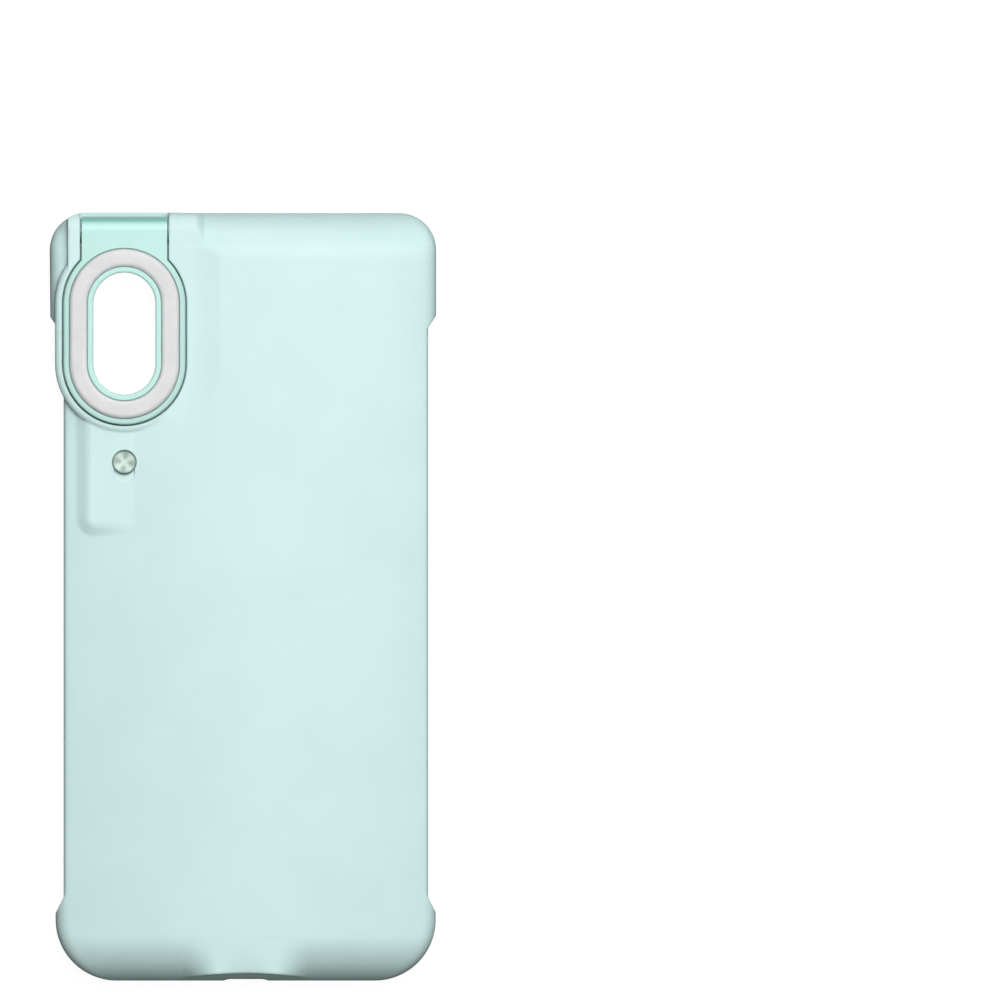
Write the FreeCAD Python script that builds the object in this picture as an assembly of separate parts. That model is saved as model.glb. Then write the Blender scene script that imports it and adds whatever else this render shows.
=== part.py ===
import FreeCAD, Part
import math
import os
from FreeCAD import Vector

# Phone case with a ring light that folds over the back. Lengths are millimetres.
# The origin is the middle of the seat for the phone's back. Seen from the back,
# +X is to the right, +Y goes to the cap and +Z comes out of the back.

# Phone that the case fits
phone_width = 70.9
phone_length = 143.6
phone_depth = 7.7
phone_corner = 10.8
phone_play = 0.1
camera_from_side = 11.15
camera_from_top = 16.2

# Walls round the pocket
side_wall = 0.9
bumper_wall = 2.4
bottom_wall = 1.9
cap_wall = 2.5
cap_ring_wall = 3.75
cap_height = 7.8
bumper_corner = 12.2
cap_corner = 7.4
pocket_floor_radius = 1.3

# Domed back and its rounded ends
crown = 5.5
dome_radius = 240.0
back_wall = 1.3
end_radius = 9.3
end_swell = 0.3
back_edge_radius = 3.0
cap_front_radius = 5.3
front_edge_radius = 0.8
side_edge_radius = 1.0
side_edge_lift = 0.02

# Lip over the screen, and the low side walls between cap and bumper
lip_thickness = 1.2
lip_overlap = 1.2
lip_straight = 24.4
lip_turn_radius = 11.0
lip_slope_deg = 31.0
side_wall_height = 4.2
cap_side = 12.7
cap_step = 2.4
cap_sweep = 7.4
bumper_side = 11.8
bumper_step = 3.0
bumper_sweep = 8.6
rim_side = 7.3

# Inner panel that closes the electronics bay
panel_thickness = 0.9
panel_margin = 1.45
panel_top_margin = 2.1
panel_notch_round = 2.6
panel_gap = 0.1
panel_ledge = 1.6
camera_hole_width = 13.0
camera_margin = 1.7

# Ring light
ring_width = 24.4
ring_straight = 12.0
ring_hole_width = 12.4
ring_thickness = 3.5
ring_floor = 0.9
ring_gap = 0.32
ring_seat_gap = 0.25
ring_edge_radius = 0.35
recess_skin = 0.9
diffuser_width = 22.2
diffuser_inner_width = 14.7
diffuser_edge = 0.95
diffuser_rise = 0.4
fit_gap = 0.05
shoulder = 0.3
led_board_thickness = 0.6
led_count = 24
led_length = 1.6
led_width = 0.8
led_height = 0.6

# Sections that a soft edge runs through
loft_sections = 9

# Collar round the ring, hinge ears and button plateau
collar_wall = 1.38
collar_edge = 1.1
collar_below_crown = 0.5
collar_foot = 1.8
dish_width = 6.4
dish_lift = 0.02
ear_wall = 2.4
ear_rise = 0.1
ear_radius = 3.2
ear_foot = 4.2
ear_step = 0.08
ear_flank = 3.0
ear_sink = 0.1
plateau_left = 8.2
plateau_bottom = 13.6
plateau_below_crown = 1.03
plateau_corner = 2.4
plateau_shoulder = 1.4
plateau_flank = 1.9
plateau_run_out = 0.5
plateau_sink = 0.03

# Hinge
neck_width = 17.1
neck_gap = 0.35
hinge_drop = 3.3
barrel_radius = 2.6
barrel_gap = 0.3
pin_radius = 1.0
pin_depth = 5.0
pivot_radius = 1.2
pivot_depth = 4.0
running_gap = 0.03
washer_radius = 2.2
washer_thickness = 0.25
lead_radius = 0.5
lead_gap = 0.2
lead_bend = 1.1

# Push button
button_below_ring = 25.7
button_radius = 2.35
button_gap = 0.1
button_rise = 0.55
button_dish = 0.12
button_flange = 0.55
button_flange_thickness = 0.3
button_wall = 1.2
button_travel = 0.3
button_stack_gap = 0.02
scoop_radius = 2.1
scoop_drop = 2.1
scoop_rim = 0.15
scoop_tilt_deg = 12.0
switch_size = 3.0
button_stop = 0.05
plunger_radius = 0.75
plunger_gap = 0.06

# Openings in the bottom wall
port_width = 9.0
port_height = 6.8
port_corner = 1.6
speaker_width = 12.8
speaker_height = 2.7
speaker_offset = 16.0
bridge_half = 6.0
bridge_run = 7.5
bridge_fall = 1.04
bridge_sink = 0.02
bridge_overlap = 4.0
bridge_foot = 1.2
bridge_inset = 1.5
bridge_bow_radius = 79.0

# Electronics
board_thickness = 0.8
board_left = 6.7
board_width = 30.0
board_length = 22.5
board_below_button = 17.9
battery_width = 40.0
battery_length = 66.0
battery_thickness = 2.1
battery_corner = 2.0
battery_gap = 4.0
tape_thickness = 0.2
tape_inset = 2.0
wire_radius = 0.4
wire_spacing = 3.0
wire_overlap = 2.0
solder_gap = 0.05
cap_bay_floor = 5.0
cap_bay_wall = 2.5
charge_board_length = 28.0
charge_board_depth = 4.2
charge_board_gap = 0.4
socket_width = 7.5
socket_height = 2.6
socket_depth = 5.4
socket_wall = 0.3
socket_offset = 20.0
socket_gap = 0.15
tongue_thickness = 0.6
tongue_margin = 0.9
flex_width = 4.0
flex_thickness = 0.2
flex_offset = 6.4
flex_landing = 2.0
flex_bend = 0.3
driver_size = 4.0
driver_height = 0.85
charger_size = 3.0
charger_height = 0.75
chip_from_edge = 13.0
inductor_size = 4.0
inductor_height = 1.6
inductor_corner = 0.8
inductor_from_edge = 6.5
capacitor_length = 2.0
capacitor_width = 1.25
capacitor_height = 0.9
capacitor_count = 4
capacitor_pitch = 2.2
capacitor_from_edge = 21.0
lower_row = 5.0
upper_row = 12.0

# Places that follow from the sizes above
pocket_half = phone_width / 2 + phone_play
pocket_end = phone_length / 2 + phone_play
pocket_corner = phone_corner + phone_play
panel_corner = pocket_corner - panel_margin
lip_back = -(phone_depth + phone_play)
rim = lip_back - lip_thickness
body_half = pocket_half + side_wall
bumper_half = pocket_half + bumper_wall
cap_plain = pocket_half + cap_wall
cap_ring = pocket_half + cap_ring_wall
case_top = pocket_end + cap_height
case_bottom = -pocket_end - bottom_wall
dome_axis = crown - dome_radius
end_centre = crown - end_radius
side_rim = -side_wall_height

ring_x = camera_from_side - phone_width / 2
ring_y = phone_length / 2 - camera_from_top
recess_floor = panel_thickness + recess_skin
ring_base = recess_floor + ring_seat_gap
ring_top = ring_base + ring_thickness
recess_width = ring_width + 2 * ring_gap
collar_width = recess_width + 2 * collar_wall
collar_top = crown - collar_below_crown
channel_floor = ring_base + ring_floor
shoulder_level = ring_top - diffuser_edge
board_top = panel_thickness + board_thickness

hinge_y = case_top - hinge_drop
hinge_z = ring_top - barrel_radius
neck_half = neck_width / 2
slot_half = neck_half + neck_gap
ear_half = slot_half + ear_wall
ear_top = case_top + ear_rise
slot_floor = hinge_z - barrel_radius - barrel_gap

plateau_top = crown - plateau_below_crown
button_x = ring_x
button_y = ring_y - button_below_ring
button_shelf = plateau_top - button_wall
button_base = button_shelf - button_stack_gap - button_flange_thickness
switch_top = button_base - button_travel - button_stop
plunger_foot = switch_top - plunger_gap
board_x0 = button_x - board_left
board_y0 = button_y - board_below_button
board_y1 = board_y0 + board_length
battery_y1 = board_y0 - battery_gap
port_level = lip_back / 2

bay_x0 = ring_x + ear_half
bay_y0 = pocket_end + back_wall
bay_floor = -cap_bay_floor
charge_board_x0 = bay_x0 + charge_board_gap
charge_board_y0 = bay_y0 + charge_board_gap
charge_board_z0 = bay_floor + socket_height
charge_board_top = charge_board_z0 + board_thickness
socket_x = bay_x0 + socket_offset
flex_x0 = bay_x0 + flex_offset

above = crown + end_radius
below = rim - end_radius
past = case_top + end_radius
fine = 0.001


def plan(u, v):
    return Vector(u, v, 0)


def side(u, v):
    return Vector(0, u, v)


def front(u, v):
    return Vector(u, 0, v)


def rounded_corner(before, corner, after, radius):
    back = (before - corner).normalize()
    ahead = (after - corner).normalize()
    half = back.getAngle(ahead) / 2
    run = radius / math.tan(half)
    inward = (back + ahead).normalize() * (radius / math.sin(half) - radius)
    return corner + back * run, corner + inward, corner + ahead * run


def outline(corners, place):
    # Closed face through corners given as (u, v, corner radius)
    points = [place(u, v) for u, v, radius in corners]
    stops = []
    for i, (u, v, radius) in enumerate(corners):
        after = points[(i + 1) % len(points)]
        if radius > 0:
            stops.append(rounded_corner(points[i - 1], points[i], after, radius))
        else:
            stops.append((points[i], points[i], points[i]))
    edges = []
    for i, (first, middle, last) in enumerate(stops):
        if not first.isEqual(last, Part.Precision.confusion()):
            edges.append(Part.Arc(first, middle, last).toShape())
        following = stops[(i + 1) % len(stops)][0]
        if not last.isEqual(following, Part.Precision.confusion()):
            edges.append(Part.LineSegment(last, following).toShape())
    return Part.Face(Part.Wire(edges))


def eased(start, end, place):
    # Curve between two points that leaves and arrives level
    middle = (start[0] + end[0]) / 2
    curve = Part.BezierCurve()
    curve.setPoles([place(*start), place(middle, start[1]), place(middle, end[1]), place(*end)])
    return curve.toShape()


def smooth(share):
    # Share of a height at a share of the way, level at both ends
    return share * share * (3 - 2 * share)


def rise(face, low, high):
    # Plan face extruded between two levels
    placed = face.copy()
    placed.translate(Vector(0, 0, low))
    return placed.extrude(Vector(0, 0, high - low))


def across(face, left, right):
    # Side face extruded between two X places
    placed = face.copy()
    placed.translate(Vector(left, 0, 0))
    return placed.extrude(Vector(right - left, 0, 0))


def along(face, near, far):
    # Front face extruded between two Y places
    placed = face.copy()
    placed.translate(Vector(0, near, 0))
    return placed.extrude(Vector(0, far - near, 0))


def block(x0, x1, y0, y1, z0, z1):
    return Part.makeBox(x1 - x0, y1 - y0, z1 - z0, Vector(x0, y0, z0))


def rod_x(x0, x1, y, z, radius):
    return Part.makeCylinder(radius, x1 - x0, Vector(x0, y, z), Vector(1, 0, 0))


def post(x, y, z0, z1, radius):
    return Part.makeCylinder(radius, z1 - z0, Vector(x, y, z0))


def rectangle(x0, x1, y0, y1, radius):
    return outline([(x0, y0, radius), (x1, y0, radius), (x1, y1, radius), (x0, y1, radius)], plan)


def stadium(width):
    # Upright slot shape round the camera, of a given width
    half = width / 2
    end = ring_straight / 2 + half
    return rectangle(ring_x - half, ring_x + half, ring_y - end, ring_y + end, half)


def solid(shape):
    clean = shape.removeSplitter()
    return clean.Solids[0] if len(clean.Solids) == 1 else clean


def dome_slab(inset):
    # Back surface turned about an axis far below, so that it domes with its rounded ends
    low_y = case_bottom - end_swell + inset
    high_y = case_top + end_swell - inset
    level = crown - inset
    radius = end_radius - inset
    profile = outline([(low_y, below, 0), (high_y, below, 0),
                       (high_y, level, radius), (low_y, level, radius)], side)
    sweep = math.degrees(math.asin((cap_ring + end_radius) / dome_radius))
    profile.rotate(Vector(0, 0, dome_axis), Vector(0, 1, 0), -sweep)
    return profile.revolve(Vector(0, 0, dome_axis), Vector(0, 1, 0), 2 * sweep)


def front_slab():
    # Side view of the front: rounded over the cap, drawn in to the rim at the bottom
    reach = math.sqrt(end_radius ** 2 - (end_centre - rim) ** 2)
    centre = case_bottom - end_swell + end_radius
    low = Vector(0, centre - reach, rim)
    outermost = Vector(0, centre - end_radius, end_centre)
    half_turn = math.asin((end_centre - rim) / end_radius) / 2
    between = Vector(0, centre - end_radius * math.cos(half_turn),
                     end_centre - end_radius * math.sin(half_turn))
    high_low = Vector(0, centre - end_radius, above)
    high_top = Vector(0, case_top + end_swell, above)
    turn = rounded_corner(high_top, Vector(0, case_top + end_swell, rim), low, cap_front_radius)
    edges = [
        Part.Arc(low, between, outermost).toShape(),
        Part.LineSegment(outermost, high_low).toShape(),
        Part.LineSegment(high_low, high_top).toShape(),
        Part.LineSegment(high_top, turn[0]).toShape(),
        Part.Arc(*turn).toShape(),
        Part.LineSegment(turn[2], low).toShape(),
    ]
    return across(Part.Face(Part.Wire(edges)), -past, past)


def middle_of(edge):
    return edge.valueAt((edge.FirstParameter + edge.LastParameter) / 2)


def plan_outline(grow):
    # Outline of the whole case seen from the back, moved outwards by grow
    low = case_bottom - grow
    high = case_top + grow
    return outline([(-bumper_half - grow, low, bumper_corner + grow),
                    (bumper_half + grow, low, bumper_corner + grow),
                    (cap_plain + grow, high, cap_corner + grow),
                    (-cap_ring - grow, high, cap_corner + grow)], plan)


def case_block():
    # Whole outside of the case, its back edge rounded over
    plan_face = plan_outline(0)
    body = solid(rise(plan_face, below, above).common(dome_slab(0)))
    back_edges = []
    for edge in body.Edges:
        middle = middle_of(edge)
        foot_point = Part.Vertex(middle.x, middle.y, 0)
        on_wall = plan_face.OuterWire.distToShape(foot_point)[0] < fine
        if on_wall and edge.BoundBox.ZMin > below + fine:
            back_edges.append(edge)
    body = body.makeFillet(back_edge_radius, back_edges)
    body = solid(body.common(front_slab()))
    front_edges = [edge for edge in body.Edges if edge.BoundBox.ZMax < rim + fine]
    return body.makeFillet(front_edge_radius, front_edges)


def bent_rod(points, bend, radius):
    # Round rod along straight runs joined by one arc at each bend
    edges = []
    start = points[0]
    for before, corner, after in zip(points, points[1:], points[2:]):
        first, middle, last = rounded_corner(before, corner, after, bend)
        edges.append(Part.LineSegment(start, first).toShape())
        edges.append(Part.Arc(first, middle, last).toShape())
        start = last
    edges.append(Part.LineSegment(start, points[-1]).toShape())
    section = Part.Wire(Part.makeCircle(radius, points[0], points[1] - points[0]))
    return Part.Wire(edges).makePipeShell([section], True, True)


def side_relief():
    # Both long sides cut back between the cap and the bumper, with sloped ends and a rounded back edge
    cap_y = pocket_end - cap_side
    bumper_y = bumper_side - pocket_end
    cap_slope = cap_step / (cap_wall - side_wall)
    bumper_slope = bumper_step / (bumper_wall - side_wall)
    inner = body_half - side_edge_radius
    outer = cap_ring + end_swell
    round_centre = dome_axis + math.sqrt((dome_radius - side_edge_radius) ** 2 - inner ** 2)
    round_top = round_centre + side_edge_radius + side_edge_lift
    cuts = []
    for sign, cap_outside in ((1, cap_plain), (-1, cap_ring)):
        form = outline([(sign * inner, above, 0), (sign * inner, round_top, 0),
                        (sign * body_half, round_top, side_edge_radius), (sign * body_half, below, 0),
                        (sign * outer, below, 0), (sign * outer, above, 0)], front)
        face = outline([(sign * inner, bumper_y + (bumper_half - inner) * bumper_slope, 0),
                        (sign * outer, bumper_y - (outer - bumper_half) * bumper_slope, 0),
                        (sign * outer, cap_y + (outer - cap_outside) * cap_slope, 0),
                        (sign * inner, cap_y - (cap_outside - inner) * cap_slope, 0)], plan)
        cuts.append(along(form, -past, past).common(rise(face, below, above)))
    return cuts[0].fuse(cuts[1])


def rim_relief():
    # Side walls cut low between the cap and the bumper, with a smooth sweep at each end
    cap_y = pocket_end - rim_side
    low_cap_y = cap_y - cap_sweep
    bumper_y = -cap_y
    low_bumper_y = bumper_y + bumper_sweep
    edges = [
        eased((cap_y, rim), (low_cap_y, side_rim), side),
        Part.LineSegment(side(low_cap_y, side_rim), side(low_bumper_y, side_rim)).toShape(),
        eased((low_bumper_y, side_rim), (bumper_y, rim), side),
        Part.LineSegment(side(bumper_y, rim), side(bumper_y, below)).toShape(),
        Part.LineSegment(side(bumper_y, below), side(cap_y, below)).toShape(),
        Part.LineSegment(side(cap_y, below), side(cap_y, rim)).toShape(),
    ]
    return across(Part.Face(Part.Wire(edges)), -past, past)


def pocket():
    # Room for the phone, with a window in front of it that the cap's lip closes at the top
    plan_face = rectangle(-pocket_half, pocket_half, -pocket_end, pocket_end, pocket_corner)
    room = rise(plan_face, lip_back, 0)
    floor_edges = [edge for edge in room.Edges if edge.BoundBox.ZMin > -fine]
    room = room.makeFillet(pocket_floor_radius, floor_edges)
    lip_y = pocket_end - lip_overlap
    slope = math.radians(lip_slope_deg)
    turn_x = lip_straight + lip_turn_radius * math.tan(slope / 2)
    side_y = lip_y - (past - turn_x) * math.tan(slope)
    window = outline([(-past, -past, 0), (past, -past, 0), (past, side_y, 0),
                      (turn_x, lip_y, lip_turn_radius), (-turn_x, lip_y, lip_turn_radius),
                      (-past, side_y, 0)], plan)
    return room.fuse(rise(plan_face.common(window), below, lip_back + fine))


def panel_face(grow):
    # Inner panel's outline, notched round the camera, moved outwards by grow
    left = -pocket_half + panel_margin - grow
    bottom = -pocket_end + panel_margin - grow
    top = pocket_end - panel_top_margin + grow
    notch_radius = camera_hole_width / 2 + camera_margin
    notch_x = ring_x + notch_radius - grow
    notch_y = ring_y - ring_straight / 2 - notch_radius + grow
    corner = panel_corner + grow
    small = panel_notch_round + grow
    return outline([(left, bottom, corner), (-left, bottom, corner), (-left, top, corner),
                    (notch_x, top, small), (notch_x, notch_y, notch_radius - grow),
                    (left, notch_y, small)], plan)


def dome_level(x):
    # Level of the domed back at a distance from the middle
    return dome_axis + math.sqrt(dome_radius ** 2 - x ** 2)


def slope_level(way):
    # Level of the dish at a distance outwards from the collar's edge
    height = dome_level(ring_x + collar_width / 2 + dish_width) + dish_lift - collar_top
    return collar_top + height * smooth(way / dish_width)


def ear_profile(end_y, level, radius):
    return outline([(ring_y, -ear_foot, 0), (end_y, -ear_foot, 0),
                    (end_y, level, radius), (ring_y, level, 0)], side)


def ears():
    # Hinge ears behind the cap's top edge, with a step and a flank on the right that run out into the back
    left = ring_x - ear_half
    right = ring_x + ear_half
    step_x = ring_x + collar_width / 2
    step_y = ear_top - ear_step
    step_level = collar_top - ear_step
    fall_y = case_top - ear_sink - step_y
    wires = []
    for i in range(loft_sections):
        share = i / (loft_sections - 1)
        mix = smooth(share)
        wire = ear_profile(step_y + mix * fall_y, slope_level(share * ear_flank) - ear_step,
                           ear_radius + mix * (end_radius - ear_radius)).OuterWire
        wire.translate(Vector(step_x + share * ear_flank, 0, 0))
        wires.append(wire)
    flank = Part.makeLoft(wires, True, False)
    step = across(ear_profile(step_y, step_level, ear_radius), right, step_x)
    whole = across(ear_profile(ear_top, collar_top, ear_radius), left, right).fuse(step).fuse(flank)
    return whole.common(rise(plan_outline(ear_rise), below, above))


def collar():
    # Wall round the ring, tapering into the case's side below the recess
    wall = rise(stadium(collar_width), 0, collar_top)
    top_edges = [edge for edge in wall.Edges if edge.BoundBox.ZMin > collar_top - fine]
    wall = wall.makeFillet(collar_edge, top_edges)
    wide = stadium(collar_width).OuterWire
    narrow = stadium(collar_width - 2 * collar_foot).OuterWire
    narrow.translate(Vector(0, 0, -collar_foot))
    foot = Part.makeLoft([narrow, wide], True, True)
    return wall.fuse(foot).fuse(ears())


def arch(width):
    # Slot shape round the camera, its upper end carried straight on past the cap
    half = width / 2
    foot = ring_y - ring_straight / 2 - half
    return outline([(ring_x - half, foot, half), (ring_x + half, foot, half),
                    (ring_x + half, past, 0), (ring_x - half, past, 0)], plan)


def dish():
    # Shallow slope from the back down to the collar's top
    wires = []
    for i in range(loft_sections):
        way = dish_width * i / (loft_sections - 1)
        wire = arch(collar_width + 2 * way).OuterWire
        wire.translate(Vector(0, 0, slope_level(way)))
        wires.append(wire)
    return Part.makeLoft(wires, True, False)


def plateau():
    # Flat pad for the button, whose edge rolls over and runs out along the domed back
    foot_x = button_x - plateau_left - plateau_flank
    meet_x = -math.sqrt(dome_radius ** 2 - (plateau_top - dome_axis) ** 2)
    right = meet_x + plateau_run_out / 2
    pivot = Vector(meet_x + plateau_run_out, 0, plateau_top)
    drop = plateau_top - dome_level(foot_x) + plateau_sink
    tilt = math.degrees(math.atan(drop / (pivot.x - foot_x)))
    wires = []
    for i in range(loft_sections):
        share = i / (loft_sections - 1)
        grow = share * (plateau_shoulder + plateau_flank) - plateau_shoulder
        left = button_x - plateau_left - grow
        bottom = button_y - plateau_bottom - grow
        corner = plateau_corner + grow
        wire = outline([(left, bottom, corner), (right, bottom, 0),
                        (right, ring_y + grow, 0), (left, ring_y + grow, corner)], plan).OuterWire
        wire.translate(Vector(0, 0, plateau_top))
        wire.rotate(pivot, Vector(0, 1, 0), -tilt * smooth(share))
        wires.append(wire)
    return Part.makeLoft(wires, True, False)


def bridge_section(x, fall):
    # Side view of the bridge at one X place, its end falling by a share of the case's rounded end
    outer_y = case_bottom - end_swell
    start_y = outer_y + end_radius
    inner_y = start_y + bridge_overlap
    foot = end_centre - bridge_foot
    high = dome_level(x) - bridge_sink
    low = high - fall * end_radius
    pull = 4 / 3 * (math.sqrt(2) - 1)
    turn = Part.BezierCurve()
    turn.setPoles([side(start_y, high), side(start_y - pull * end_radius, high),
                   side(outer_y, low + pull * (high - low)), side(outer_y, low)])
    edges = [
        Part.LineSegment(side(inner_y, high), side(start_y, high)).toShape(),
        turn.toShape(),
        Part.LineSegment(side(outer_y, low), side(outer_y, foot)).toShape(),
        Part.LineSegment(side(outer_y, foot), side(inner_y, foot)).toShape(),
        Part.LineSegment(side(inner_y, foot), side(inner_y, high)).toShape(),
    ]
    wire = Part.Wire(edges)
    wire.translate(Vector(x, 0, 0))
    return wire


def bridge():
    # Back carried straight on over the charging port, soft at its flanks, ending in a bowed face
    wires = []
    for sign in (-1, 1):
        for i in range(loft_sections):
            share = abs(i / (loft_sections - 1) - (1 - sign) / 2)
            x = sign * (bridge_half + share * bridge_run)
            wires.append(bridge_section(x, bridge_fall * smooth(share)))
    tongue = Part.makeLoft(wires, True, False)
    end_y = case_bottom + bridge_inset
    bow = post(0, end_y - bridge_bow_radius, below, above, bridge_bow_radius)
    return solid(tongue.cut(bow).common(rise(plan_outline(0), below, above)))


def ring_recess():
    # Room that the folded ring, its neck and its barrel turn in
    recess = rise(stadium(recess_width), recess_floor, above)
    neck_slot = block(ring_x - slot_half, ring_x + slot_half, ring_y, hinge_y, recess_floor, above)
    barrel_slot = rod_x(ring_x - slot_half, ring_x + slot_half, hinge_y, hinge_z, barrel_radius + barrel_gap)
    fold_slot = block(ring_x - slot_half, ring_x + slot_half, hinge_y, past, slot_floor, above)
    return recess.fuse(neck_slot).fuse(barrel_slot).fuse(fold_slot)


def end_opening(width, height, corner, x):
    # Lying opening through the bottom wall at the port's level
    left = x - width / 2
    right = x + width / 2
    low = port_level - height / 2
    high = port_level + height / 2
    face = outline([(left, low, corner), (right, low, corner),
                    (right, high, corner), (left, high, corner)], front)
    return along(face, case_bottom - end_radius, -pocket_end + fine)


def electronics_bay():
    # Hollow behind the panel and in the cap, following the back at one wall thickness
    room = rise(panel_face(-panel_ledge), panel_thickness - fine, above)
    end_y = case_top - back_wall
    cap_room = block(bay_x0, cap_plain - cap_bay_wall, bay_y0, end_y, bay_floor, above)
    passage_y = pocket_end - panel_top_margin - panel_corner
    passage = block(bay_x0, pocket_half - panel_corner, passage_y, end_y, panel_thickness, above)
    room = room.fuse(cap_room).fuse(passage).common(dome_slab(back_wall))
    ring_zone = rise(stadium(collar_width), 0, above)
    hinge_zone = block(-past, bay_x0, ring_y, past, below, above)
    return room.cut(ring_zone).cut(hinge_zone)


def lead_path():
    # Lead from the ring's pivot down to the charging board
    drop_x = bay_x0 + lead_bend
    return [Vector(ring_x + neck_half - pivot_depth, hinge_y, hinge_z),
            Vector(drop_x, hinge_y, hinge_z),
            Vector(drop_x, hinge_y, charge_board_top + solder_gap)]


def scoop():
    # Round nail scoop beside the button, its floor tilted down to the button
    tilt = math.radians(scoop_tilt_deg)
    depth = scoop_rim + scoop_radius * math.tan(tilt)
    floor = Vector(button_x, button_y - scoop_drop, plateau_top - depth)
    return Part.makeCylinder(scoop_radius, above, floor, Vector(0, math.sin(tilt), math.cos(tilt)))


def back_shell():
    shell = case_block().cut(side_relief()).fuse(plateau()).fuse(bridge()).cut(dish())
    shell = solid(shell.fuse(collar()))
    shell = shell.cut(rim_relief()).cut(pocket())
    shell = shell.cut(rise(panel_face(panel_gap), -fine, panel_thickness))
    shell = shell.cut(electronics_bay())
    shell = shell.cut(ring_recess())
    shell = shell.cut(rise(stadium(camera_hole_width), below, above))
    shell = shell.cut(rod_x(ring_x - slot_half - ear_wall, ring_x, hinge_y, hinge_z, pin_radius))
    shell = shell.cut(rod_x(ring_x, bay_x0, hinge_y, hinge_z, pivot_radius))
    shell = shell.cut(bent_rod(lead_path(), lead_bend, lead_radius + lead_gap))
    shell = shell.cut(post(button_x, button_y, 0, above, button_radius + button_gap))
    shell = shell.cut(post(button_x, button_y, 0, button_shelf, button_radius + button_flange + button_gap))
    shell = shell.cut(scoop())
    shell = shell.cut(end_opening(port_width, port_height, port_corner, 0))
    for offset in (-speaker_offset, speaker_offset):
        shell = shell.cut(end_opening(speaker_width, speaker_height, speaker_height / 2, offset))
    mouth = socket_width / 2 + socket_gap
    shell = shell.cut(block(socket_x - mouth, socket_x + mouth, bay_y0, past,
                            bay_floor, charge_board_z0 + socket_gap))
    return solid(shell)


def inner_panel():
    return rise(panel_face(0), 0, panel_thickness)


def ring_section(inner, outer, low, high):
    # Flat-walled band round the camera between two widths
    return rise(stadium(outer), low, high).cut(rise(stadium(inner), low, high))


def ring_frame():
    body = ring_section(ring_hole_width, ring_width, ring_base, ring_top)
    level_edges = [edge for edge in body.Edges if edge.BoundBox.ZLength < fine]
    body = body.makeFillet(ring_edge_radius, level_edges)
    neck_y = ring_y + (ring_straight + diffuser_inner_width) / 2
    neck = block(ring_x - neck_half, ring_x + neck_half, neck_y, hinge_y, ring_base, ring_top)
    barrel = rod_x(ring_x - neck_half, ring_x + neck_half, hinge_y, hinge_z, barrel_radius)
    body = body.fuse(neck).fuse(barrel)
    body = body.cut(ring_section(diffuser_inner_width, diffuser_width, shoulder_level, above))
    body = body.cut(ring_section(diffuser_inner_width + 2 * shoulder, diffuser_width - 2 * shoulder,
                                 channel_floor, above))
    body = body.cut(rod_x(ring_x - neck_half, ring_x - neck_half + pin_depth, hinge_y, hinge_z,
                          pin_radius + running_gap))
    body = body.cut(rod_x(ring_x + neck_half - pivot_depth, ring_x + neck_half, hinge_y, hinge_z,
                          pivot_radius + running_gap))
    body = body.cut(bent_rod(ring_lead_path(), lead_bend, lead_radius + lead_gap))
    return solid(body)


def ring_lead_path():
    # Lead from the light's board along the neck and out through the barrel
    channel_end = ring_y + ring_straight / 2 + diffuser_width / 2 - shoulder
    return [Vector(ring_x, channel_end - fit_gap, hinge_z),
            Vector(ring_x, hinge_y, hinge_z),
            Vector(ring_x + neck_half - pivot_depth - fit_gap, hinge_y, hinge_z)]


def ring_lead():
    return bent_rod(ring_lead_path(), lead_bend, lead_radius)


def band_round_camera(corners):
    # Section given by (distance from the camera's middle line, level), carried round the slot shape
    end = ring_straight / 2
    turned = outline(corners, front)
    turned.translate(Vector(ring_x, ring_y + end, 0))
    top = turned.revolve(Vector(ring_x, ring_y + end, 0), Vector(0, 0, 1), 180)
    straight = turned.extrude(Vector(0, -ring_straight, 0))
    half = top.fuse(straight)
    other = half.copy()
    other.rotate(Vector(ring_x, ring_y, 0), Vector(0, 0, 1), 180)
    return solid(half.fuse(other))


def diffuser():
    inner = diffuser_inner_width / 2 + fit_gap
    outer = diffuser_width / 2 - fit_gap
    corner = diffuser_edge
    return band_round_camera([(inner, shoulder_level, 0), (outer, shoulder_level, 0),
                              (outer, ring_top + diffuser_rise, corner),
                              (inner, ring_top + diffuser_rise, corner)])


def led_board():
    inset = 2 * (shoulder + fit_gap)
    return ring_section(diffuser_inner_width + inset, diffuser_width - inset,
                        channel_floor, channel_floor + led_board_thickness)


def led_chips():
    # Lamps at even steps along the middle of the board
    radius = (diffuser_inner_width + diffuser_width) / 4
    turn = math.pi * radius
    lap = 2 * ring_straight + 2 * turn
    base = channel_floor + led_board_thickness
    chips = []
    for i in range(led_count):
        s = (i + 0.5) * lap / led_count
        lower = s >= lap / 2
        s = s - lap / 2 if lower else s
        if s < ring_straight:
            place = Vector(radius, s - ring_straight / 2, 0)
            heading = 90.0
        else:
            angle = (s - ring_straight) / radius
            place = Vector(radius * math.cos(angle), ring_straight / 2 + radius * math.sin(angle), 0)
            heading = 90.0 + math.degrees(angle)
        chip = Part.makeBox(led_length, led_width, led_height, Vector(-led_length / 2, -led_width / 2, base))
        chip.rotate(Vector(0, 0, 0), Vector(0, 0, 1), heading)
        chip.translate(place)
        if lower:
            chip.rotate(Vector(0, 0, 0), Vector(0, 0, 1), 180)
        chip.translate(Vector(ring_x, ring_y, 0))
        chips.append(chip)
    return Part.makeCompound(chips)


def hinge_pin():
    start = ring_x - slot_half - ear_wall
    end = ring_x - neck_half + pin_depth - barrel_gap
    return rod_x(start, end, hinge_y, hinge_z, pin_radius)


def hinge_tube():
    start = ring_x + neck_half - pivot_depth + barrel_gap
    tube = rod_x(start, bay_x0, hinge_y, hinge_z, pivot_radius)
    return tube.cut(rod_x(start, bay_x0, hinge_y, hinge_z, lead_radius + lead_gap))


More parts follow.
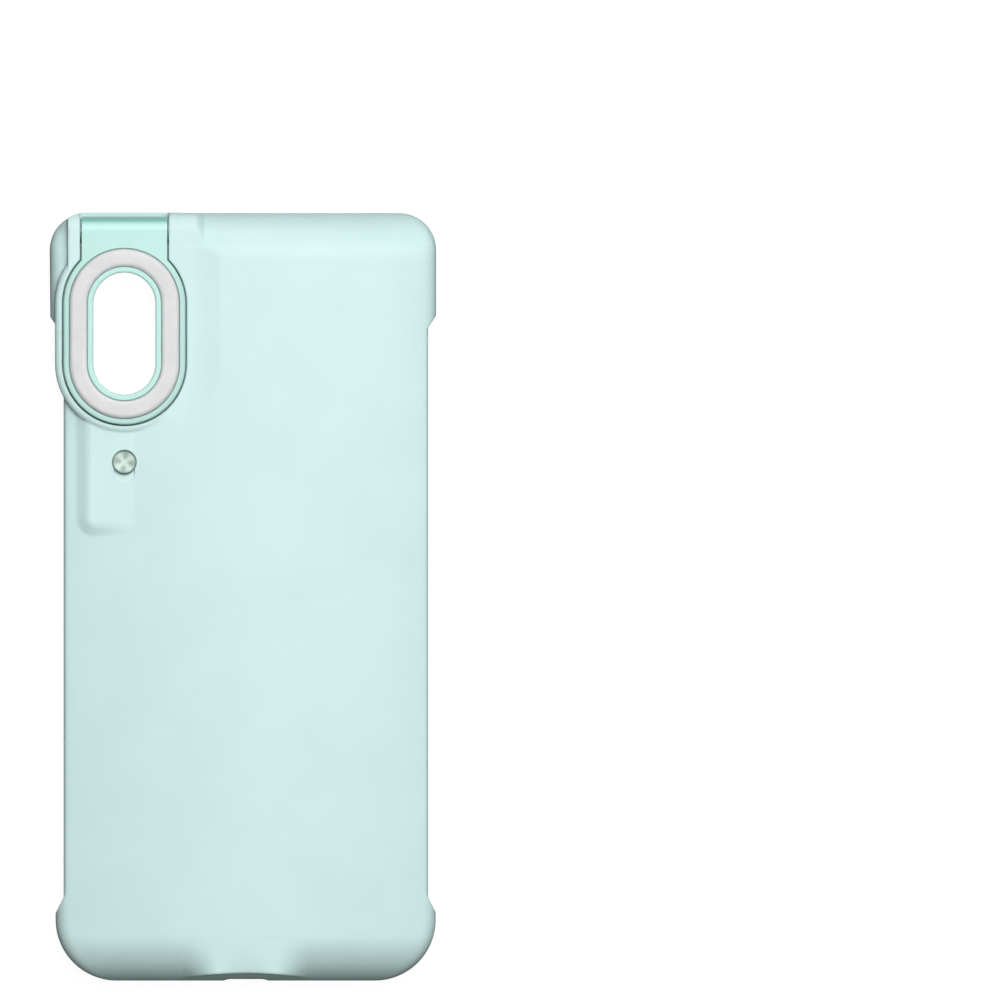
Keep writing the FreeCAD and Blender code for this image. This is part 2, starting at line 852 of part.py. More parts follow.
def hinge_washers():
    slack = (neck_gap - washer_thickness) / 2
    washers = []
    for start, hole in ((ring_x - slot_half + slack, pin_radius), (ring_x + neck_half + slack, pivot_radius)):
        disc = rod_x(start, start + washer_thickness, hinge_y, hinge_z, washer_radius)
        washers.append(disc.cut(rod_x(start, start + washer_thickness, hinge_y, hinge_z, hole + running_gap)))
    return Part.makeCompound(washers)


def case_lead():
    return bent_rod(lead_path(), lead_bend, lead_radius)


def power_button():
    # Turned cap with a dished face and a flange that keeps it in
    crest = plateau_top + button_rise
    flange = button_radius + button_flange
    flange_top = button_base + button_flange_thickness
    lip_x = button_radius - button_dish
    dish_radius = (lip_x ** 2 + button_dish ** 2) / (2 * button_dish)
    dish_rise = dish_radius - math.sqrt(dish_radius ** 2 - (lip_x / 2) ** 2)
    middle = Vector(0, 0, crest - button_dish)
    between = middle + Vector(lip_x / 2, 0, dish_rise)
    lip = Vector(lip_x, 0, crest)
    corners = [lip, front(button_radius, crest - button_dish), front(button_radius, flange_top),
               front(flange, flange_top), front(flange, button_base), front(0, button_base), middle]
    edges = [Part.LineSegment(a, b).toShape() for a, b in zip(corners, corners[1:])]
    edges.append(Part.Arc(middle, between, lip).toShape())
    profile = Part.Face(Part.Wire(edges))
    profile.translate(Vector(button_x, button_y, 0))
    return profile.revolve(Vector(button_x, button_y, 0), Vector(0, 0, 1), 360)


def tact_switch():
    half = switch_size / 2
    case = block(button_x - half, button_x + half, button_y - half, button_y + half, board_top, switch_top)
    return case.cut(post(button_x, button_y, plunger_foot - button_travel - plunger_gap, switch_top,
                         plunger_radius + plunger_gap))


def switch_plunger():
    return post(button_x, button_y, plunger_foot, button_base - button_stack_gap, plunger_radius)


def control_board():
    return block(board_x0, board_x0 + board_width, board_y0, board_y1, panel_thickness, board_top)


def battery_face(inset):
    half = battery_width / 2 - inset
    return rectangle(-half, half, battery_y1 - battery_length + inset, battery_y1 - inset, battery_corner)


def battery():
    low = panel_thickness + tape_thickness
    return rise(battery_face(0), low, low + battery_thickness)


def battery_tape():
    return rise(battery_face(tape_inset), panel_thickness, panel_thickness + tape_thickness)


def battery_wires():
    wires = []
    level = board_top + wire_radius + solder_gap
    for side_x in (-wire_spacing / 2, wire_spacing / 2):
        start = Vector(board_x0 + board_width - battery_gap + side_x, battery_y1, level)
        wires.append(Part.makeCylinder(wire_radius, battery_gap + wire_overlap, start, Vector(0, 1, 0)))
    return Part.makeCompound(wires)


def charge_board():
    return block(charge_board_x0, charge_board_x0 + charge_board_length, charge_board_y0,
                 charge_board_y0 + charge_board_depth, charge_board_z0, charge_board_top)


def charge_socket():
    y1 = charge_board_y0 + socket_depth
    half = socket_width / 2
    inner = half - socket_wall
    shell = block(socket_x - half, socket_x + half, charge_board_y0, y1, bay_floor, charge_board_z0)
    room = block(socket_x - inner, socket_x + inner, charge_board_y0 + socket_wall, y1,
                 bay_floor + socket_wall, charge_board_z0 - socket_wall)
    return shell.cut(room)


def socket_tongue():
    half = socket_width / 2 - tongue_margin
    middle = bay_floor + socket_height / 2
    y0 = charge_board_y0 + socket_wall
    y1 = charge_board_y0 + socket_depth - tongue_margin
    return block(socket_x - half, socket_x + half, y0, y1,
                 middle - tongue_thickness / 2, middle + tongue_thickness / 2)


def main_flex():
    # Flat lead from the control board, over the pocket's end wall, down to the charging board
    y0 = board_y1 - flex_landing
    y1 = charge_board_y0 + flex_landing
    low = charge_board_top + solder_gap
    high = board_top + solder_gap
    bend_y = charge_board_y0 + flex_thickness
    outer_bend = flex_bend + flex_thickness
    form = outline([(y0, high, 0), (charge_board_y0, high, flex_bend),
                    (charge_board_y0, low, outer_bend), (y1, low, 0),
                    (y1, low + flex_thickness, 0), (bend_y, low + flex_thickness, flex_bend),
                    (bend_y, high + flex_thickness, outer_bend), (y0, high + flex_thickness, 0)], side)
    return across(form, flex_x0, flex_x0 + flex_width)


def board_part(size, corner, from_edge, row, height):
    # Square part on the control board, placed from the board's right and lower edges
    x = board_x0 + board_width - from_edge
    y = board_y0 + row
    half = size / 2
    return rise(rectangle(x - half, x + half, y - half, y + half, corner), board_top, board_top + height)


def driver_chip():
    return board_part(driver_size, 0, chip_from_edge, upper_row, driver_height)


def charger_chip():
    return board_part(charger_size, 0, chip_from_edge, lower_row, charger_height)


def inductor():
    return board_part(inductor_size, inductor_corner, inductor_from_edge, upper_row, inductor_height)


def capacitors():
    x0 = board_x0 + board_width - capacitor_from_edge
    row = []
    for i in range(capacitor_count):
        y0 = board_y0 + lower_row + i * capacitor_pitch
        row.append(block(x0, x0 + capacitor_length, y0, y0 + capacitor_width,
                         board_top, board_top + capacitor_height))
    return Part.makeCompound(row)


os.makedirs("parts", exist_ok=True)
for node in (back_shell, inner_panel, ring_frame, diffuser, led_board, led_chips, ring_lead,
             hinge_pin, hinge_tube, hinge_washers, case_lead, power_button, tact_switch, switch_plunger,
             control_board, battery, battery_tape, battery_wires, charge_board, charge_socket,
             socket_tongue, main_flex, driver_chip, charger_chip, inductor, capacitors):
    shape = node()
    print(node.__name__, shape.isValid(), len(shape.Solids), len(shape.Faces), round(shape.Volume, 2))
    shape.exportStep("parts/" + node.__name__ + ".step")
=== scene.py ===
import math

import bmesh
import bpy
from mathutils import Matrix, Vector


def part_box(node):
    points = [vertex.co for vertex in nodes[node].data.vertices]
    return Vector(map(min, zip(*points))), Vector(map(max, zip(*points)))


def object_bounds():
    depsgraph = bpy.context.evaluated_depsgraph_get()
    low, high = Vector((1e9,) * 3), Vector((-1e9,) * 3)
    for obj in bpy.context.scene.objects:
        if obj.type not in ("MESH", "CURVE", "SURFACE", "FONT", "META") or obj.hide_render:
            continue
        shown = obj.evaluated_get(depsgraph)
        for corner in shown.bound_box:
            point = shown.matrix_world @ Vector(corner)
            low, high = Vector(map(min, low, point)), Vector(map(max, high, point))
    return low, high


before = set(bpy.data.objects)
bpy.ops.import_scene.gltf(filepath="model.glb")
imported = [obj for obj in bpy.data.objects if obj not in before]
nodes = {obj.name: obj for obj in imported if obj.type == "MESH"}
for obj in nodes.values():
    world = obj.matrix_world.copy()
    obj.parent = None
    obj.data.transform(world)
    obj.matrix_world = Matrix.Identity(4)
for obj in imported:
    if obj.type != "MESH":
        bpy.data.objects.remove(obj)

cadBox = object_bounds()
print("frame loaded,", len(nodes), "nodes")


def mm(value):
    return value / 1000.0


# flat view straight down on the back, one pixel of the picture is 0.2 mm
cameraSet = {
    "pictureWidth": mm(200.0),
    "overX": mm(50.82),
    "overY": mm(22.32),
    "height": mm(600.0),
    "near": mm(5.0),
    "far": 20.0,
}


def makeCamera():
    cam = bpy.data.cameras.new("topCamera")
    cam.type = "ORTHO"
    cam.ortho_scale = cameraSet["pictureWidth"]
    cam.clip_start = cameraSet["near"]
    cam.clip_end = cameraSet["far"]
    rig = bpy.data.objects.new("topCamera", cam)
    rig.location = (cameraSet["overX"], cameraSet["overY"], cameraSet["height"])
    bpy.context.scene.collection.objects.link(rig)
    bpy.context.scene.camera = rig


class Sock:
    # a socket of a node tree; sums on it add Math nodes
    def __init__(self, tree, socket=None):
        self.tree = tree
        self.socket = socket

    def node(self, kind, settings, inputs, out=0):
        made = self.tree.nodes.new(kind)
        for name, value in settings.items():
            setattr(made, name, value)
        for name, value in inputs.items():
            plug(self.tree, made.inputs[name], value)
        return Sock(self.tree, made.outputs[out])

    def maths(self, operation, *values):
        return self.node("ShaderNodeMath", {"operation": operation}, dict(enumerate(values)))

    def __add__(self, other):
        return self.maths("ADD", self, other)

    __radd__ = __add__

    def __sub__(self, other):
        return self.maths("SUBTRACT", self, other)

    def __rsub__(self, other):
        return self.maths("SUBTRACT", other, self)

    def __mul__(self, other):
        return self.maths("MULTIPLY", self, other)

    __rmul__ = __mul__

    def __pow__(self, other):
        return self.maths("POWER", self, other)

    def __rpow__(self, other):
        return self.maths("POWER", other, self)


def plug(tree, socket, value):
    if isinstance(value, Sock):
        tree.links.new(value.socket, socket)
    else:
        socket.default_value = value


def srgb(red, green, blue):
    # picture colour of 0 to 255 as the linear colour that Blender takes
    def linear(c):
        c = c / 255.0
        return c / 12.92 if c <= 0.04045 else ((c + 0.055) / 1.055) ** 2.4
    return (linear(red), linear(green), linear(blue), 1.0)


def startFinish(name):
    mat = bpy.data.materials.new(name)
    mat.use_nodes = True
    tree = mat.node_tree
    shader = tree.nodes["Principled BSDF"]
    place = Sock(tree).node("ShaderNodeTexCoord", {}, {}, "Object")
    return mat, tree, shader, place


def setShader(tree, shader, values):
    for name, value in values.items():
        plug(tree, shader.inputs[name], value)


def noise(place, size, detail=2.0):
    # noise whose features are about the given size in metres
    inputs = {"Vector": place, "Scale": 1.0 / size, "Detail": detail}
    return place.node("ShaderNodeTexNoise", {}, inputs, "Fac")


def axis(place, name):
    return place.node("ShaderNodeSeparateXYZ", {}, {"Vector": place}, name)


def fromMiddle(place, name):
    # X and Y measured from the middle of a node's box
    low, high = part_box(name)
    middle = (low + high) / 2
    return axis(place, "X") - middle.x, axis(place, "Y") - middle.y


def distance(x, y):
    return (x * x + y * y) ** 0.5


def ramp(value, low, high):
    # 0 before low and 1 after high, smooth between
    limits = {"Value": value, "From Min": low, "From Max": high, "To Min": 0.0, "To Max": 1.0}
    return value.node("ShaderNodeMapRange", {"interpolation_type": "SMOOTHSTEP"}, limits, "Result")


# colour sockets of a Mix node, by number because their names repeat
mixSockets = {"amount": 0, "first": 6, "second": 7, "result": 2}


def blend(amount, first, second):
    inputs = {mixSockets["amount"]: amount, mixSockets["first"]: first, mixSockets["second"]: second}
    return amount.node("ShaderNodeMix", {"data_type": "RGBA"}, inputs, mixSockets["result"])


def bumps(height, strength, depth, normal=None):
    inputs = {"Height": height, "Strength": strength, "Distance": depth}
    if normal:
        inputs["Normal"] = normal
    return height.node("ShaderNodeBump", {}, inputs)


def stripes(value, pitch):
    # 0 to 1 and back over each pitch
    return value.maths("SINE", value * (2.0 * math.pi / pitch)) * 0.5 + 0.5


edgeSamples = 6
cloudDetail = 3.0
cloudLow = 0.35
cloudHigh = 0.65
grainDetail = 1.0


def edgeRadius(place, look):
    # soft edges, finer round the button
    away = ramp(distance(*fromMiddle(place, "power_button")), look["fineNear"], look["fineFar"])
    return away * (look["edge"] - look["fineEdge"]) + look["fineEdge"]


# clouded colour with a fine grain and, where given, softened edges; the start of every finish
def mottled(name, look):
    mat, tree, shader, place = startFinish(name)
    cloud = ramp(noise(place, look["cloud"], cloudDetail), cloudLow, cloudHigh)
    grain = noise(place, look["grain"], grainDetail)
    colour = blend(cloud, look["deep"], look["pale"])
    rounded = None
    if "edge" in look:
        radius = edgeRadius(place, look) if "fineEdge" in look else look["edge"]
        rounded = place.node("ShaderNodeBevel", {"samples": edgeSamples}, {"Radius": radius})
    setShader(tree, shader, {
        "Base Color": colour,
        "Roughness": grain * look["roughSpread"] + look["roughness"],
        "Normal": bumps(grain, look["grainStrength"], look["grainDepth"], rounded),
        "Metallic": look.get("metal", 0.0),
        "Coat Weight": look.get("coat", 0.0),
        "Specular IOR Level": look.get("gloss", 0.5),
    })
    return mat, tree, shader, place, colour


def dress(mat, *names):
    for name in names:
        data = nodes[name].data
        data.materials.clear()
        data.materials.append(mat)


# soft-touch moulded shell
shellLook = {
    "pale": srgb(209, 238, 235),
    "deep": srgb(206, 235, 232),
    "edge": mm(0.9),
    "fineEdge": mm(0.25),
    "fineNear": mm(4.2),
    "fineFar": mm(6.0),
    "cloud": mm(16.0),
    "grain": mm(0.30),
    "roughness": 0.3,
    "roughSpread": 0.1,
    "grainStrength": 0.06,
    "grainDepth": mm(0.02),
    "gloss": 0.0,
    "satin": 0.45,
    "satinRoughness": 0.36,
    "satinStart": mm(3.4),
    "satinFull": mm(1.6),
}


def shellFinish():
    # matte all over, with a satin polish on the domed back that ends at its rounded edges
    mat, tree, shader, place, colour = mottled("mintShell", shellLook)
    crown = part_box("back_shell")[1].z
    back = ramp(axis(place, "Z"), crown - shellLook["satinStart"], crown - shellLook["satinFull"])
    setShader(tree, shader, {
        "Coat Weight": back * shellLook["satin"],
        "Coat Roughness": shellLook["satinRoughness"],
    })
    return mat


# flat panel in the pocket, a little deeper in colour
panelLook = {
    "pale": srgb(207, 238, 231),
    "deep": srgb(201, 233, 225),
    "cloud": mm(24.0),
    "grain": mm(0.25),
    "roughness": 0.5,
    "roughSpread": 0.15,
    "grainStrength": 0.15,
    "grainDepth": mm(0.03),
    "gloss": 0.3,
}

# glossy ring housing, with painted shade darkening its hinge barrel's end, a painted highlight in a
# paler band just below it and painted shade darkening its rims
ringLook = {
    "pale": srgb(188, 232, 224),
    "deep": srgb(185, 229, 220),
    "edge": mm(0.3),
    "barrel": srgb(130, 190, 179),
    "barrelStart": mm(1.7),
    "barrelFull": mm(0.7),
    "line": srgb(194, 238, 230),
    "lineStart": mm(3.0),
    "lineFull": mm(2.3),
    "rim": srgb(180, 220, 212),
    "rimSoft": mm(0.15),
    "neckLow": mm(14.0),
    "neckHigh": mm(8.0),
    "cloud": mm(9.0),
    "grain": mm(1.2),
    "roughness": 0.29,
    "roughSpread": 0.06,
    "grainStrength": 0.03,
    "grainDepth": mm(0.05),
    "gloss": 0.3,
}


def ringFinish():
    mat, tree, shader, place, colour = mottled("mintRing", ringLook)
    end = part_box("ring_frame")[1].y
    along = axis(place, "Y")
    # painted shade: a darker band at the hinge barrel's end
    barrel = ramp(along, end - ringLook["barrelStart"], end - ringLook["barrelFull"])
    # painted highlight: a paler band just below the barrel's shaded end
    line = ramp(along, end - ringLook["lineStart"], end - ringLook["lineFull"])
    colour = blend(line, colour, ringLook["line"])
    # painted shade along the ring's rims beside the opal cover
    colour = blend(ringRimShade(place), colour, ringLook["rim"])
    setShader(tree, shader, {"Base Color": blend(barrel, colour, ringLook["barrel"])})
    return mat


def slotReach(place):
    # distance from the middle line of the ring's slot, with the opal cover's inner and outer distances
    low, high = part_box("diffuser")
    middle = (low + high) / 2
    outer = (high.x - low.x) / 2
    straight = (high.y - low.y) / 2 - outer
    x, y = fromMiddle(place, "diffuser")
    past = x.maths("MAXIMUM", x.maths("ABSOLUTE", y) - straight, 0.0)
    inner = min(abs(vert.co.x - middle.x) for vert in nodes["diffuser"].data.vertices)
    return distance(x, past), inner, outer


def ringRimShade(place):
    # 1 on the ring's rims beside the opal cover, 0 on the neck; there painted shade darkens the rounded
    # rims
    reach, inner, outer = slotReach(place)
    soft = ringLook["rimSoft"]
    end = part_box("ring_frame")[1].y
    neck = ramp(axis(place, "Y"), end - ringLook["neckLow"], end - ringLook["neckHigh"])
    outside = ramp(reach, outer - soft, outer) * (1.0 - neck)
    inside = 1.0 - ramp(reach, inner, inner + soft)
    return outside.maths("MAXIMUM", outside, inside)


# opal cover over the lamps, with painted shade as a darker border along its inner and outer edges
opalLook = {
    "pale": srgb(230, 230, 230),
    "deep": srgb(226, 226, 227),
    "borderShade": srgb(212, 213, 213),
    "borderShadeWide": mm(1.0),
    "depth": mm(1.2),
    "reach": (1.0, 1.0, 1.0),
    "cloud": mm(5.0),
    "grain": mm(0.2),
    "roughness": 0.55,
    "roughSpread": 0.1,
    "grainStrength": 0.06,
    "grainDepth": mm(0.02),
    "gloss": 0.3,
}


def opalFinish():
    mat, tree, shader, place, colour = mottled("opalCover", opalLook)
    reach, inner, outer = slotReach(place)
    wide = opalLook["borderShadeWide"]
    # painted shade along the cover's inner and outer edges
    borderShade = 1.0 - ramp(reach, inner, inner + wide) * (1.0 - ramp(reach, outer - wide, outer))
    setShader(tree, shader, {
        "Base Color": blend(borderShade, colour, opalLook["borderShade"]),
        "Subsurface Weight": 1.0,
        "Subsurface Scale": opalLook["depth"],
        "Subsurface Radius": opalLook["reach"],
    })
    return mat


# turned button with painted highlights as bright and dark spun sectors, and painted shade on its rim
# above and below
buttonLook = {
    "sectorHighlight": srgb(156, 173, 165),
    "sectorShade": srgb(118, 134, 127),
    "rim": srgb(86, 104, 100),
    "spokes": 4.0,
    "spokeTurn": 0.17,
    "plainMiddle": mm(0.2),
    "fullSpoke": mm(1.1),
    "rimStart": mm(1.85),
    "rimFull": mm(2.2),
    "groove": mm(0.16),
    "grooveStrength": 0.2,
    "grooveDepth": mm(0.004),
    "roughness": 0.48,
    "roughSpread": 0.08,
    "metal": 0.6,
}


def buttonFinish():
    look = buttonLook
    mat, tree, shader, place = startFinish("spunMetal")
    x, y = fromMiddle(place, "power_button")
    radius = distance(x, y)
    angle = x.maths("ARCTAN2", y, x) + look["spokeTurn"]
    # painted highlights: four bright sectors between darker ones, standing in for the spun metal's
    # reflections
    paintedSectors = x.maths("COSINE", angle * look["spokes"]) * 0.5 + 0.5
    paintedSectors = paintedSectors * ramp(radius, look["plainMiddle"], look["fullSpoke"])
    # painted shade on the button's rim, strongest above and below, where its chamfer faces away from
    # the lamps
    shadeAboveBelow = x.maths("ABSOLUTE", x.maths("SINE", angle))
    rim = ramp(radius, look["rimStart"], look["rimFull"]) * shadeAboveBelow
    groove = stripes(radius, look["groove"])
    setShader(tree, shader, {
        "Base Color": blend(rim, blend(paintedSectors, look["sectorHighlight"], look["sectorShade"]), look["rim"]),
        "Roughness": groove * look["roughSpread"] + look["roughness"],
        "Normal": bumps(groove, look["grooveStrength"], look["grooveDepth"]),
        "Metallic": look["metal"],
    })
    return mat


# turned steel of the pivots, with fine rings along the axis
pivotLook = {
    "pale": srgb(205, 207, 208),
    "deep": srgb(188, 190, 192),
    "cloud": mm(1.5),
    "grain": mm(0.1),
    "roughness": 0.25,
    "roughSpread": 0.12,
    "grainStrength": 0.1,
    "grainDepth": mm(0.01),
    "metal": 1.0,
    "ring": mm(0.18),
    "ringStrength": 0.2,
}


def pivotFinish():
    mat, tree, shader, place, colour = mottled("pivotSteel", pivotLook)
    ring = stripes(axis(place, "X"), pivotLook["ring"])
    setShader(tree, shader, {"Normal": bumps(ring, pivotLook["ringStrength"], pivotLook["grainDepth"])})
    return mat


washerLook = {
    "pale": srgb(118, 154, 147),
    "deep": srgb(106, 141, 134),
    "cloud": mm(0.8),
    "grain": mm(0.1),
    "roughness": 0.6,
    "roughSpread": 0.15,
    "grainStrength": 0.15,
    "grainDepth": mm(0.02),
    "gloss": 0.3,
}

# circuit boards: mask over copper tracks that wander by so many pitches
trackWander = 2.0
trackLow = 0.55
trackHigh = 0.7
greenBoardLook = {
    "pale": srgb(38, 104, 66),
    "deep": srgb(30, 88, 56),
    "track": srgb(62, 132, 84),
    "pitch": mm(1.4),
    "cloud": mm(6.0),
    "grain": mm(0.3),
    "roughness": 0.35,
    "roughSpread": 0.1,
    "grainStrength": 0.05,
    "grainDepth": mm(0.02),
}
whiteBoardLook = {
    "pale": srgb(238, 238, 232),
    "deep": srgb(228, 229, 222),
    "track": srgb(214, 210, 190),
    "pitch": mm(2.2),
    "cloud": mm(5.0),
    "grain": mm(0.3),
    "roughness": 0.4,
    "roughSpread": 0.1,
    "grainStrength": 0.05,
    "grainDepth": mm(0.02),
}


def boardFinish(name, look):
    mat, tree, shader, place, colour = mottled(name, look)
    wander = noise(place, look["cloud"], grainDetail) * look["pitch"] * trackWander
    track = ramp(stripes(axis(place, "X") + wander, look["pitch"]), trackLow, trackHigh)
    setShader(tree, shader, {
        "Base Color": blend(track, colour, look["track"]),
        "Normal": bumps(track, look["grainStrength"], look["grainDepth"]),
    })
    return mat


lampLook = {
    "pale": srgb(248, 224, 120),
    "deep": srgb(240, 208, 92),
    "cloud": mm(0.5),
    "grain": mm(0.08),
    "roughness": 0.35,
    "roughSpread": 0.15,
    "grainStrength": 0.2,
    "grainDepth": mm(0.02),
}

chipLook = {
    "pale": srgb(44, 45, 48),
    "deep": srgb(34, 35, 38),
    "cloud": mm(1.2),
    "grain": mm(0.07),
    "roughness": 0.5,
    "roughSpread": 0.2,
    "grainStrength": 0.25,
    "grainDepth": mm(0.02),
}

ferriteLook = {
    "pale": srgb(82, 80, 80),
    "deep": srgb(64, 62, 63),
    "cloud": mm(0.8),
    "grain": mm(0.12),
    "roughness": 0.6,
    "roughSpread": 0.2,
    "grainStrength": 0.35,
    "grainDepth": mm(0.03),
}

# small blocks of tan ceramic between tinned ends
ceramicLook = {
    "pale": srgb(196, 160, 116),
    "deep": srgb(180, 143, 101),
    "tin": srgb(205, 206, 204),
    "tinLength": mm(0.4),
    "cloud": mm(0.6),
    "grain": mm(0.08),
    "roughness": 0.4,
    "roughSpread": 0.15,
    "grainStrength": 0.15,
    "grainDepth": mm(0.02),
}


def ceramicFinish():
    mat, tree, shader, place, colour = mottled("ceramicTan", ceramicLook)
    low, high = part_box("capacitors")
    x = axis(place, "X")
    end = x.maths("LESS_THAN", x, low.x + ceramicLook["tinLength"])
    end = end + x.maths("GREATER_THAN", x, high.x - ceramicLook["tinLength"])
    setShader(tree, shader, {"Base Color": blend(end, colour, ceramicLook["tin"]), "Metallic": end})
    return mat


leadLook = {
    "pale": srgb(66, 70, 72),
    "deep": srgb(52, 55, 57),
    "cloud": mm(1.0),
    "grain": mm(0.15),
    "roughness": 0.45,
    "roughSpread": 0.15,
    "grainStrength": 0.1,
    "grainDepth": mm(0.02),
}

# the cell's pair of wires, one red and one black
wireLook = {
    "pale": srgb(190, 44, 40),
    "deep": srgb(170, 34, 32),
    "other": srgb(40, 41, 43),
    "cloud": mm(1.0),
    "grain": mm(0.15),
    "roughness": 0.42,
    "roughSpread": 0.12,
    "grainStrength": 0.1,
    "grainDepth": mm(0.02),
}


def wireFinish():
    mat, tree, shader, place, colour = mottled("wirePair", wireLook)
    low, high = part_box("battery_wires")
    x = axis(place, "X")
    other = x.maths("GREATER_THAN", x, (low.x + high.x) / 2)
    setShader(tree, shader, {"Base Color": blend(other, colour, wireLook["other"])})
    return mat


# laminate foil round the cell, slightly crumpled
foilLook = {
    "pale": srgb(206, 208, 210),
    "deep": srgb(190, 193, 196),
    "cloud": mm(12.0),
    "grain": mm(2.4),
    "roughness": 0.28,
    "roughSpread": 0.2,
    "grainStrength": 0.3,
    "grainDepth": mm(0.15),
    "metal": 0.8,
}

tapeLook = {
    "pale": srgb(176, 178, 176),
    "deep": srgb(160, 162, 161),
    "cloud": mm(3.0),
    "grain": mm(0.2),
    "roughness": 0.7,
    "roughSpread": 0.2,
    "grainStrength": 0.3,
    "grainDepth": mm(0.03),
}

# amber flat lead with copper tracks along it
flexLook = {
    "pale": srgb(206, 140, 56),
    "deep": srgb(192, 124, 44),
    "track": srgb(176, 98, 46),
    "pitch": mm(0.66),
    "trackLow": 0.4,
    "trackHigh": 0.6,
    "cloud": mm(5.0),
    "grain": mm(0.3),
    "roughness": 0.3,
    "roughSpread": 0.1,
    "grainStrength": 0.1,
    "grainDepth": mm(0.02),
    "coat": 0.2,
}


def flexFinish():
    mat, tree, shader, place, colour = mottled("flexAmber", flexLook)
    track = stripes(axis(place, "X"), flexLook["pitch"])
    track = ramp(track, flexLook["trackLow"], flexLook["trackHigh"])
    setShader(tree, shader, {
        "Base Color": blend(track, colour, flexLook["track"]),
        "Normal": bumps(track, flexLook["grainStrength"], flexLook["grainDepth"]),
    })
    return mat


tinLook = {
    "pale": srgb(210, 211, 210),
    "deep": srgb(192, 194, 194),
    "cloud": mm(1.5),
    "grain": mm(0.12),
    "roughness": 0.3,
    "roughSpread": 0.15,
    "grainStrength": 0.1,
    "grainDepth": mm(0.02),
    "metal": 1.0,
}

# black tongue with gilt contacts across it
tongueLook = {
    "pale": srgb(40, 41, 44),
    "deep": srgb(32, 33, 36),
    "gilt": srgb(212, 175, 92),
    "pitch": mm(0.5),
    "contactLow": 0.5,
    "contactHigh": 0.6,
    "cloud": mm(1.0),
    "grain": mm(0.1),
    "roughness": 0.4,
    "roughSpread": 0.15,
    "grainStrength": 0.1,
    "grainDepth": mm(0.02),
}


def tongueFinish():
    mat, tree, shader, place, colour = mottled("socketTongue", tongueLook)
    contact = stripes(axis(place, "X"), tongueLook["pitch"])
    contact = ramp(contact, tongueLook["contactLow"], tongueLook["contactHigh"])
    setShader(tree, shader, {
        "Base Color": blend(contact, colour, tongueLook["gilt"]),
        "Metallic": contact,
    })
    return mat


plungerLook = {
    "pale": srgb(232, 231, 224),
    "deep": srgb(222, 221, 213),
    "cloud": mm(0.6),
    "grain": mm(0.1),
    "roughness": 0.45,
    "roughSpread": 0.1,
    "grainStrength": 0.1,
    "grainDepth": mm(0.02),
}

black = (0.0, 0.0, 0.0, 1.0)
white = (1.0, 1.0, 1.0, 1.0)

# pale floor: white to the camera and in reflections, greyer for the light that it sends back
floorSet = {
    "half": 4.0,
    "pale": (0.14, 0.14, 0.14, 1.0),
    "grey": (0.1, 0.1, 0.1, 1.0),
    "glow": 0.95,
    "roughness": 0.9,
}


def seenRay(place):
    # 1 on rays that show the background: camera, mirror and see-through
    ray = place.node("ShaderNodeLightPath", {}, {}, "Is Camera Ray")
    for kind in ("Is Glossy Ray", "Is Transmission Ray"):
        ray = ray.maths("MAXIMUM", ray, ray.node("ShaderNodeLightPath", {}, {}, kind))
    return ray


def makeFloor():
    mesh = bpy.data.meshes.new("floor")
    work = bmesh.new()
    bmesh.ops.create_grid(work, x_segments=1, y_segments=1, size=floorSet["half"])
    bmesh.ops.translate(work, verts=work.verts, vec=(0, 0, cadBox[0].z))
    work.to_mesh(mesh)
    work.free()
    floor = bpy.data.objects.new("floor", mesh)
    bpy.context.scene.collection.objects.link(floor)
    mat, tree, shader, place = startFinish("paleFloor")
    ray = seenRay(place)
    setShader(tree, shader, {
        "Base Color": blend(ray, floorSet["grey"], floorSet["pale"]),
        "Emission Color": blend(ray, black, white),
        "Emission Strength": floorSet["glow"],
        "Roughness": floorSet["roughness"],
        "Specular IOR Level": 0.0,
    })
    mesh.materials.append(mat)


# strip lamp overhead, a softbox from beyond the cap's right corner and a low lamp beyond the cap
lampSet = {
    "overhead": {"at": (0.0, 0.0, 0.8), "wide": 0.2, "long": 0.8, "watts": 2.35},
    "softbox": {"at": (0.16, 0.32, 0.78), "wide": 0.5, "long": 0.5, "watts": 4.35},
    "low": {"at": (0.06, 0.75, 0.32), "wide": 0.5, "long": 0.3, "watts": 1.2},
}
skyLevel = 0.06


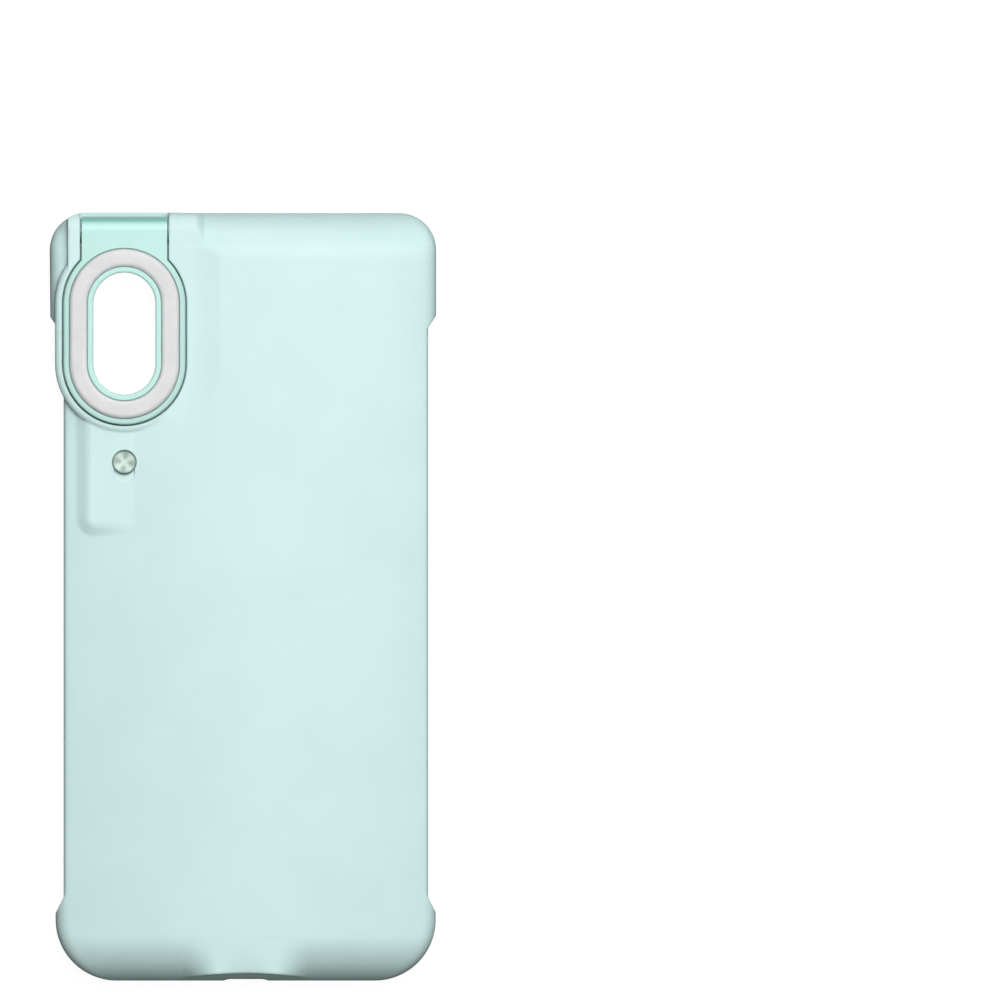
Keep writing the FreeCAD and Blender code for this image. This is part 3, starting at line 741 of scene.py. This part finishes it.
def makeLamps():
    for name, lamp in lampSet.items():
        data = bpy.data.lights.new(name, "AREA")
        data.shape = "RECTANGLE"
        data.size = lamp["wide"]
        data.size_y = lamp["long"]
        data.energy = lamp["watts"]
        rig = bpy.data.objects.new(name, data)
        rig.location = lamp["at"]
        rig.rotation_euler = (-Vector(lamp["at"])).to_track_quat("-Z", "Y").to_euler()
        bpy.context.scene.collection.objects.link(rig)


def makeWorld():
    world = bpy.data.worlds.new("studio")
    bpy.context.scene.world = world
    world.use_nodes = True
    tree = world.node_tree
    back = tree.nodes["Background"]
    ray = seenRay(Sock(tree))
    sky = (skyLevel, skyLevel, skyLevel, 1.0)
    plug(tree, back.inputs["Color"], blend(ray, sky, white))
    back.inputs["Strength"].default_value = 1.0


makeCamera()
makeFloor()
makeLamps()
makeWorld()
print("camera, floor and lamps ready")

dress(shellFinish(), "back_shell")
dress(mottled("mintPanel", panelLook)[0], "inner_panel")
dress(ringFinish(), "ring_frame")
dress(opalFinish(), "diffuser")
dress(buttonFinish(), "power_button")
print("outside finishes ready")

dress(pivotFinish(), "hinge_pin", "hinge_tube")
dress(mottled("washerNylon", washerLook)[0], "hinge_washers")
dress(boardFinish("greenBoard", greenBoardLook), "control_board", "charge_board")
dress(boardFinish("whiteBoard", whiteBoardLook), "led_board")
dress(mottled("lampYellow", lampLook)[0], "led_chips")
dress(mottled("chipBlack", chipLook)[0], "driver_chip", "charger_chip", "tact_switch")
dress(mottled("ferriteGrey", ferriteLook)[0], "inductor")
dress(ceramicFinish(), "capacitors")
dress(mottled("leadRubber", leadLook)[0], "ring_lead", "case_lead")
dress(wireFinish(), "battery_wires")
dress(mottled("cellFoil", foilLook)[0], "battery")
dress(mottled("tapeGrey", tapeLook)[0], "battery_tape")
dress(flexFinish(), "main_flex")
dress(mottled("socketTin", tinLook)[0], "charge_socket")
dress(tongueFinish(), "socket_tongue")
dress(mottled("plungerNylon", plungerLook)[0], "switch_plunger")
print("inside finishes ready")

bpy.context.scene.view_settings.view_transform = "Standard"
